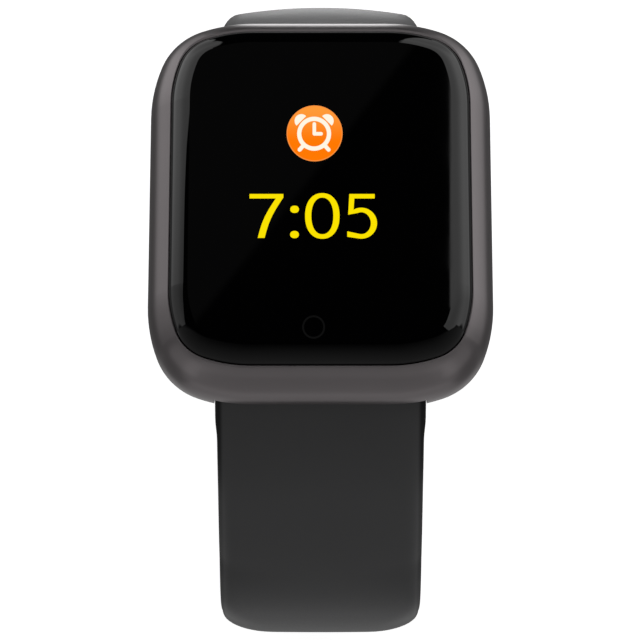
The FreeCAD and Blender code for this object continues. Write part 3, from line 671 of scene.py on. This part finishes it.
def strap_section(half_width, outer, inner, crown, edge_start, edge_drop):
    """Outline of the strap across its width, as (x, height) pairs in millimetres.

    The outer face is gently crowned and rolls down to the edges; the inner face is flat.
    """
    points = []
    for step in range(STRAP_SECTION_STEPS + 1):
        x = -half_width * math.cos(math.pi * step / STRAP_SECTION_STEPS)
        reach = min(1.0, max(0.0, (abs(x) - edge_start * half_width) / (half_width * (1 - edge_start))))
        drop = x * x / (2 * crown) + edge_drop * (1 - math.sqrt(1 - reach ** 2))
        points.append((x, max(outer - drop, THINNEST_EDGE - inner)))
    for step in range(STRAP_SECTION_STEPS + 1):
        x = half_width * math.cos(math.pi * step / STRAP_SECTION_STEPS)
        reach = max(0.0, (abs(x) - half_width + INNER_ROUND_WIDTH) / INNER_ROUND_WIDTH)
        rise = INNER_ROUND_HEIGHT * (1 - math.sqrt(max(0.0, 1 - reach * reach)))
        points.append((x * 0.999, rise - inner))
    return points


KNUCKLE = 1.55                        # half the thickness round the spring bar
STRAP_HALF = 1.2                      # half the thickness elsewhere
OUTER_SWELL = 0.68
INNER_SWELL = 0.15

# Each of these changes along the strap: at the bar, where it rolls over, where it runs flat, and
# in the fold that it stands on.
ROLL_CROWN, FLAT_CROWN, FOLD_CROWN = 58, 948, 400
ROLL_EDGE, FLAT_EDGE, FOLD_EDGE = 0.83, 0.92, 0.5
BAR_DROP, ROLL_DROP, FLAT_DROP, FOLD_DROP = 0.4, 2.3, 1.0, 2.1


def strap_ring(path, along, half_width, thickness_share=1.0):
    """One ring of points round the strap at a distance along its centreline."""
    if along < 0:
        outer = inner = max(math.sqrt(max(0.0, KNUCKLE ** 2 - along ** 2)), 0.15)
    else:
        swell = ease(along, 3.0, 12.0) * (1 - ease(along, 24.0, 40.0))
        base = KNUCKLE + (STRAP_HALF - KNUCKLE) * ease(along, 0.0, 9.0)
        outer = base + OUTER_SWELL * swell
        inner = base + INNER_SWELL * swell
    clear = ease(along, 5.0, 15.0)
    flat = ease(along, 21.0, 31.0)
    fold = ease(along, 26.0, 36.0)
    crown = ROLL_CROWN + (FLAT_CROWN - ROLL_CROWN) * flat + (FOLD_CROWN - FLAT_CROWN) * fold
    edge_start = ROLL_EDGE + (FLAT_EDGE - ROLL_EDGE) * flat + (FOLD_EDGE - FLAT_EDGE) * fold
    drop = BAR_DROP + (ROLL_DROP - BAR_DROP) * clear
    drop += (FLAT_DROP - ROLL_DROP) * flat + (FOLD_DROP - FLAT_DROP) * fold
    edge_drop = drop * min(1.0, outer / STRAP_HALF) * thickness_share
    outer *= thickness_share
    inner *= thickness_share
    section = strap_section(half_width, outer, inner, crown, edge_start, edge_drop)
    point, outward = path.at(along)
    return [point + Vector((x * MM, 0, 0)) + outward * (height * MM) for x, height in section]


def spread(start, end, count):
    """Evenly spaced values from start to end, both included."""
    return [start + (end - start) * step / (count - 1) for step in range(count)]


STRAP_HALF_WIDTH = 11.0
STRAP_TAPER = 0.0052
NOTCH_FLARE = 0.17


def strap_width(along):
    """Half the strap's width, which fills the case's notch and narrows gently towards the end."""
    return STRAP_HALF_WIDTH - STRAP_TAPER * along + NOTCH_FLARE * (1 - ease(along, 3.5, 6.0))


def knuckle_distances():
    """Distances round the knuckle, closer together at its end."""
    return [-KNUCKLE * math.cos(math.radians(angle)) for angle in range(2, 90, 8)]


TIP_ROUND = 10.4


def tail_rings(path):
    """Rings of the tail strap, ending in a round tip."""
    rings = [strap_ring(path, along, strap_width(along)) for along in knuckle_distances()]
    round_start = path.length - TIP_ROUND
    for along in spread(0.0, round_start, 150):
        rings.append(strap_ring(path, along, strap_width(along)))
    widest = strap_width(round_start)
    for angle in range(4, 89, 4):
        turn = math.radians(angle)
        along = round_start + TIP_ROUND * math.sin(turn)
        half_width = widest * math.cos(turn) ** 0.96
        thin = 0.55 + 0.45 * math.cos(turn) ** 0.5
        rings.append(strap_ring(path, along, half_width, thin))
    return rings


HOLE_RADIUS = 1.15
HOLE_FLARE = 0.35
HOLE_COUNT = 8
HOLE_PITCH = 6.0
FIRST_HOLE = 12.0


def hole_cutter(path, along):
    """A cutter for one adjusting hole, flared where it meets both faces."""
    point, outward = path.at(along)
    along_x = Vector((1, 0, 0))
    turn = Matrix((along_x, outward.cross(along_x), outward)).transposed().to_4x4()
    matrix = Matrix.Translation(point) @ turn
    flare = HOLE_RADIUS + HOLE_FLARE
    edge = STRAP_HALF + 0.1
    profile = ((flare + 0.6, -edge - 0.6), (flare, -edge), (HOLE_RADIUS, -edge + 0.4),
               (HOLE_RADIUS, edge - 0.4), (flare, edge), (flare + 0.6, edge + 0.6))
    return lathe("hole", [(radius * MM, height * MM) for radius, height in profile], matrix)


BORE_RADIUS = 0.95
BORE_HALF = 13.0
LEVER_TILT = 35.0
LEVER_SLOT_LOW = (-9.0, -1.0, -5.0)
LEVER_SLOT_HIGH = (-5.8, 1.0, 0.02)


def bore_cutter(name, radius, centre):
    """A cutter along X, wider than the strap."""
    along_x = Matrix.Rotation(math.pi / 2, 4, "Y")
    profile = [(radius * MM, -BORE_HALF * MM), (radius * MM, BORE_HALF * MM)]
    return lathe(name, profile, Matrix.Translation(centre) @ along_x)


def bar_cutters(side):
    """Cutters for the spring bar's bore and the release lever's slot in a strap."""
    centre = BAR_CENTRE[side]
    bore = bore_cutter("bore", BORE_RADIUS, centre)
    tilt = Matrix.Rotation(math.radians(-side * LEVER_TILT), 4, "X")
    low, high = ([value * MM for value in corner] for corner in (LEVER_SLOT_LOW, LEVER_SLOT_HIGH))
    slot = box_mesh("slot", low, high, Matrix.Translation(centre) @ tilt)
    return [bore, slot]


def make_tail_strap(materials):
    """The 6 o'clock strap."""
    path = StrapPath(TAIL_ROUTE, -1)
    mesh = loft("tail_strap_skin", tail_rings(path))
    cutters = bar_cutters(-1)
    for index in range(HOLE_COUNT):
        cutters.append(hole_cutter(path, path.length - FIRST_HOLE - index * HOLE_PITCH))
    mesh = cut_with(mesh, cutters)
    piece = new_object("tail_strap_skin", mesh, materials["strap_silicone"], "tail_strap")
    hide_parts("tail_strap")
    return piece


SHOULDER = 0.24
BUCKLE_BAR_BORE = 0.62
BUCKLE_END_HALF = 10.55
TONGUE_SLOT_HALF = 1.1
STRAP_END_KNUCKLE = 1.5


def buckle_rings(path, bar_distance):
    """Rings of the buckle strap, whose far end rolls round the buckle bar."""
    rings = [strap_ring(path, along, strap_width(along)) for along in knuckle_distances()]
    for along in spread(0.0, bar_distance - 3.5, 100):
        shoulder = SHOULDER * ease(along, 6.0, 9.0) * (1 - ease(along, 20.0, 28.0))
        rings.append(strap_ring(path, along, strap_width(along) + shoulder))
    for angle in range(20, 180, 10):
        turn = math.radians(angle)
        along = bar_distance - STRAP_END_KNUCKLE * math.cos(turn)
        half = STRAP_END_KNUCKLE * math.sin(turn)
        if along < bar_distance:
            half = max(half, STRAP_HALF)
        rings.append(strap_ring(path, along, BUCKLE_END_HALF, half / STRAP_HALF))
    return rings


def make_buckle_strap(materials):
    """The 12 o'clock strap."""
    path = StrapPath(BUCKLE_ROUTE, 1)
    bar = middle("buckle_bar")
    mesh = loft("buckle_strap_skin", buckle_rings(path, path.length))
    bore = bore_cutter("bar_bore", BUCKLE_BAR_BORE, bar)
    slot = box_mesh("tongue_slot", (-TONGUE_SLOT_HALF * MM, bar.y - 4 * MM, bar.z - 4 * MM),
                    (TONGUE_SLOT_HALF * MM, bar.y + 1.9 * MM, bar.z + 4 * MM))
    mesh = cut_with(mesh, bar_cutters(1) + [bore, slot])
    silicone_skin = materials["strap_silicone"]
    piece = new_object("buckle_strap_skin", mesh, silicone_skin, "buckle_strap")
    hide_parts("buckle_strap")
    return piece


# ---------------------------------------------------------------- keepers

def rounded_rectangle(half_x, half_z, radius, steps=6):
    """Points round a rectangle with round corners, as (x, z)."""
    points = []
    for corner, (sign_x, sign_z) in enumerate(((1, 1), (-1, 1), (-1, -1), (1, -1))):
        for step in range(steps + 1):
            angle = math.pi / 2 * (corner + step / steps)
            points.append((sign_x * (half_x - radius) + radius * math.cos(angle),
                           sign_z * (half_z - radius) + radius * math.sin(angle)))
    return points


KEEPER_WALL = 1.0 * MM
KEEPER_EDGE_ROUND = 0.3 * MM
KEEPER_CORNER = 1.3 * MM
KEEPER_INNER_CORNER = 0.3 * MM


def make_keeper(node, body, materials):
    """A silicone loop with soft rounded edges, in its CAD node's place."""
    low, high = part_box(node)
    centre = (low + high) / 2
    half = (high - low) / 2
    rings = []
    for y, offset in rounded_rectangle(half.y, KEEPER_WALL / 2, KEEPER_EDGE_ROUND):
        inset = KEEPER_WALL / 2 - offset
        radius = max(KEEPER_CORNER - inset, KEEPER_INNER_CORNER)
        outline = rounded_rectangle(half.x - inset, half.z - inset, radius)
        rings.append([centre + Vector((x, y, z)) for x, z in outline])
    mesh = bpy.data.meshes.new(node + "_skin")
    verts = [point for ring in rings for point in ring]
    mesh.from_pydata(verts, [], grid_faces(len(rings), len(rings), len(rings[0])))
    tidy_normals(mesh)
    piece = new_object(node + "_skin", mesh, materials["strap_silicone"], body)
    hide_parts(node)


# ---------------------------------------------------------------- screen graphics

SCREEN_SHIFT = -0.6 * MM              # the lit content sits a little left of the middle
SCREEN_STRETCH = 1.124                # the lit content is taller than wide
GRAPHIC_RISE = 0.012 * MM
GRAPHIC_THICKNESS = 0.01 * MM

# Places and sizes in millimetres from the middle of the screen, before the stretch.
SYMBOL_X = -0.03
SYMBOL_Y = 5.94
SYMBOL_RADIUS = 2.98
SYMBOL_RIM = 0.1
CLOCK_RADIUS = 1.81
CLOCK_LINE = 0.45
KEY_X = -0.12
KEY_Y = -14.29
KEY_RADIUS = 1.2
KEY_LINE = 0.2


def flat_shape(name, loops, height, material):
    """A thin flat shape on the glass from closed loops of (x, y) points in millimetres."""
    curve = bpy.data.curves.new(name, "CURVE")
    curve.dimensions = "2D"
    curve.fill_mode = "BOTH"
    curve.extrude = GRAPHIC_THICKNESS / 2
    for points in loops:
        spline = curve.splines.new("POLY")
        spline.points.add(len(points) - 1)
        for target, (x, y) in zip(spline.points, points):
            target.co = (x * MM, y * SCREEN_STRETCH * MM, 0, 1)
        spline.use_cyclic_u = True
    holder = bpy.data.objects.new(name + "_curve", curve)
    bpy.context.scene.collection.objects.link(holder)
    bpy.context.view_layer.update()
    mesh = bpy.data.meshes.new_from_object(holder)
    bpy.data.objects.remove(holder)
    mesh.transform(Matrix.Translation((SCREEN_SHIFT, 0, GLASS_TOP + height)))
    new_object(name, mesh, material, "case")


def circle(centre, radius, steps=64, start=0.0, end=360.0):
    """Points on a circle or an arc of one, angles in degrees."""
    count = steps if end - start >= 360 else steps + 1
    span = (end - start) / steps
    angles = [math.radians(start + span * step) for step in range(count)]
    return [(centre[0] + radius * math.cos(angle), centre[1] + radius * math.sin(angle)) for angle in angles]


def oval(centre, half_x, half_y, power, steps=72):
    """A rounded-square oval, as (x, y) points."""
    points = []
    for step in range(steps):
        angle = 2 * math.pi * step / steps
        cos, sin = math.cos(angle), math.sin(angle)
        points.append((centre[0] + half_x * math.copysign(abs(cos) ** (2 / power), cos),
                       centre[1] + half_y * math.copysign(abs(sin) ** (2 / power), sin)))
    return points


def capsule(start, end, width, steps=8):
    """A straight bar with round ends."""
    start, end = Vector(start), Vector(end)
    angle = math.degrees(math.atan2(end.y - start.y, end.x - start.x))
    ahead = circle(end, width / 2, steps, angle - 90, angle + 90)
    return ahead + circle(start, width / 2, steps, angle + 90, angle + 270)


def make_graphics(materials):
    """Alarm symbol, time and touch-key ring."""
    make_alarm_symbol(materials)
    make_time(materials)
    ring = [circle((KEY_X, KEY_Y), KEY_RADIUS), circle((KEY_X, KEY_Y), KEY_RADIUS - KEY_LINE)]
    flat_shape("touch_key_ring", ring, GRAPHIC_RISE, materials["key_ring"])


def make_alarm_symbol(materials):
    """An orange disc with a plain alarm clock: ring, two bells, two feet, two hands."""
    centre = (SYMBOL_X, SYMBOL_Y)
    flat_shape("symbol_rim", [circle(centre, SYMBOL_RADIUS, 96)], GRAPHIC_RISE, materials["symbol_rim"])
    inner = [circle(centre, SYMBOL_RADIUS - SYMBOL_RIM, 96)]
    flat_shape("symbol_disc", inner, 2 * GRAPHIC_RISE, materials["symbol_disc"])
    clock = (centre[0] - 0.05, centre[1] - 0.05)
    height = 3 * GRAPHIC_RISE
    glyph = materials["symbol_glyph"]
    clock_ring = [circle(clock, CLOCK_RADIUS), circle(clock, CLOCK_RADIUS - CLOCK_LINE)]
    flat_shape("clock_ring", clock_ring, height, glyph)
    for side, name in ((-1, "bell_left"), (1, "bell_right")):
        middle_angle = 90 - side * 45
        turn = math.radians(middle_angle)
        base = (clock[0] + 1.93 * math.cos(turn), clock[1] + 1.93 * math.sin(turn))
        flat_shape(name, [circle(base, 0.72, 20, middle_angle - 90, middle_angle + 90)], height, glyph)
        foot_turn = math.radians(-90 + side * 42)
        start = (clock[0] + 1.7 * math.cos(foot_turn), clock[1] + 1.7 * math.sin(foot_turn))
        end = (clock[0] + 2.3 * math.cos(foot_turn), clock[1] + 2.3 * math.sin(foot_turn))
        flat_shape(name.replace("bell", "foot"), [capsule(start, end, 0.42)], 4 * GRAPHIC_RISE, glyph)
    hub = (clock[0] + 0.02, clock[1] - 0.02)
    flat_shape("hour_hand", [capsule(hub, (hub[0], hub[1] + 1.05), 0.38)], 4 * GRAPHIC_RISE, glyph)
    flat_shape("minute_hand", [capsule(hub, (hub[0] + 0.72, hub[1]), 0.38)], 5 * GRAPHIC_RISE, glyph)


DIGIT_TOP = -0.48
DIGIT_LOW = -5.08
BAR = 0.47
STEM = 0.66
COLON_X = -2.14
ZERO_X = 0.79
ZERO_HALF = 1.82
ROUNDNESS = 2.2
BOW = 0.28


def make_time(materials):
    """The digits 7:05 in a plain, slightly wide face."""
    yellow = materials["digits"]
    height = GRAPHIC_RISE
    flat_shape("digit_seven", [seven(-6.91, -3.33)], height, yellow)
    for name, y in (("colon_top", -2.09), ("colon_low", -4.73)):
        flat_shape(name, [oval((COLON_X, y), 0.46, 0.38, ROUNDNESS, 32)], height, yellow)
    zero_centre = (ZERO_X, (DIGIT_TOP + DIGIT_LOW) / 2)
    half_y = (DIGIT_TOP - DIGIT_LOW) / 2 + 0.09
    outer = oval(zero_centre, ZERO_HALF, half_y, ROUNDNESS)
    inner = oval(zero_centre, ZERO_HALF - STEM, half_y - BAR, ROUNDNESS)
    flat_shape("digit_zero", [outer, inner], height, yellow)
    flat_shape("digit_five", [five(3.42, 6.57)], height, yellow)


def seven(left, right):
    """A seven: flat bar and a gently bowed stem."""
    foot_left = left + 0.9
    foot_right = foot_left + 0.72
    top_left = right - 0.8
    corner = DIGIT_TOP - BAR * 0.78
    points = [(left, DIGIT_TOP), (right, DIGIT_TOP), (right, corner)]
    for share in spread(0.0, 1.0, 12):
        x = right + (foot_right - right) * share - BOW * math.sin(math.pi * share)
        points.append((x, corner + (DIGIT_LOW - corner) * share))
    for share in spread(1.0, 0.0, 12):
        x = top_left + (foot_left - top_left) * share - BOW * math.sin(math.pi * share)
        points.append((x, DIGIT_TOP - BAR + (DIGIT_LOW - DIGIT_TOP + BAR) * share))
    points.append((left, DIGIT_TOP - BAR))
    return points


def five(left, right):
    """A five: flat top, short stem and an open round bowl."""
    half_x = 1.66
    half_y = 1.62
    centre_x = right - half_x
    centre_y = DIGIT_LOW - 0.08 + half_y
    shoulder_y = centre_y + half_y * 0.84
    stem_left = left + 0.2
    outer = bowl_arc(centre_x, centre_y, half_x, half_y, 118, -98)
    inner = bowl_arc(centre_x, centre_y, half_x - STEM, half_y - BAR, -100, 112)
    points = [(right - 0.24, DIGIT_TOP), (right - 0.24, DIGIT_TOP - BAR), (stem_left + 0.56, DIGIT_TOP - BAR),
              (stem_left + 0.47, shoulder_y)]
    points += outer
    points += [(left, DIGIT_LOW + 0.12), (left, DIGIT_LOW + 0.12 + BAR * 1.2)]
    points += inner
    points += [(stem_left - 0.1, shoulder_y - BAR), (stem_left + 0.03, DIGIT_TOP)]
    return points


def bowl_arc(centre_x, centre_y, half_x, half_y, start, end, steps=28):
    """Part of an oval, from one angle to another, in degrees."""
    points = []
    for share in spread(0.0, 1.0, steps):
        angle = math.radians(start + (end - start) * share)
        points.append((centre_x + half_x * math.cos(angle), centre_y + half_y * math.sin(angle)))
    return points


def graphic_materials():
    """Lit colours of the screen content, and the faint printed key ring, whose grey is a painted glow."""
    disc_low = (SYMBOL_Y - SYMBOL_RADIUS * 0.4) * SCREEN_STRETCH * MM
    disc_high = (SYMBOL_Y + SYMBOL_RADIUS) * SCREEN_STRETCH * MM
    return {
        "digits": lit("lit_yellow", (0.96, 0.76, 0.0), 1.0),
        "symbol_disc": lit("lit_orange", (1.0, 0.19, 0.0), 1.0, (1.0, 0.33, 0.04), disc_low, disc_high),
        "symbol_rim": lit("lit_orange_rim", (0.95, 0.28, 0.05), 1.0),
        "symbol_glyph": lit("lit_cream", (1.0, 0.93, 0.78), 1.0),
        # The printed key ring has no lit colour of its own; its faint grey is painted in as a glow
        "key_ring": lit("key_ring_painted_glow", (0.0045, 0.0045, 0.0045), 1.0),
    }


# ---------------------------------------------------------------- whole object

def dress_cad_nodes(materials):
    """Give every CAD node its material, by its slot in the record."""
    for entry in frame["record"]["subparts"]:
        mesh = frame["nodes"][entry["node"]].data
        mesh.materials.clear()
        mesh.materials.append(materials[entry["material_slot"]])


make_studio()
all_materials = make_materials()
all_materials.update(graphic_materials())
dress_cad_nodes(all_materials)
straps = [make_tail_strap(all_materials), make_buckle_strap(all_materials)]
make_lights(frame["nodes"]["case_frame"], straps)
make_keeper("fixed_keeper", "buckle_strap", all_materials)
make_keeper("free_keeper", "free_keeper", all_materials)
make_graphics(all_materials)
